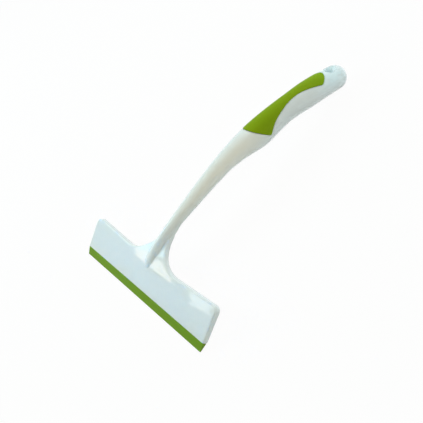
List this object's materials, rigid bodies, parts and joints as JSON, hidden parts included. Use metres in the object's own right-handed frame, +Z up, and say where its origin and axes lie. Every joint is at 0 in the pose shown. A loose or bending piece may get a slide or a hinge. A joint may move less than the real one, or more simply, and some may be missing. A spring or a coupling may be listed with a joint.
{
  "type": "window squeegee",
  "caption": "Hand window squeegee: a white moulded head, neck and curved handle in one, with a green soft grip let into the handle and a green rubber blade that slides in a channel of the head.",
  "frame": {"origin": "centre of the underside: the squeegee lies on a table on the blade's edge and the end of its handle, and the origin is on the table below the middle of its length and width", "axes": "+X along the blade, +Y from the blade towards the end of the handle, +Z up, out of the front of the squeegee"},
  "size_m": [0.18, 0.2975, 0.0487],
  "materials": {
    "white_plastic": "smooth glossy cool white moulded polypropylene",
    "grip_rubber": "satin lime green thermoplastic rubber",
    "blade_rubber": "satin green rubber"
  },
  "bodies": {
    "handle": {"handle_and_head": "white_plastic", "soft_grip": "grip_rubber"},
    "blade": {"rubber_blade": "blade_rubber"}
  },
  "joints": [
    {"name": "blade_slide", "type": "slide", "parent": "handle", "child": "blade", "axis": [1, 0, 0], "range_m": [-0.16, 0]}
  ]
}
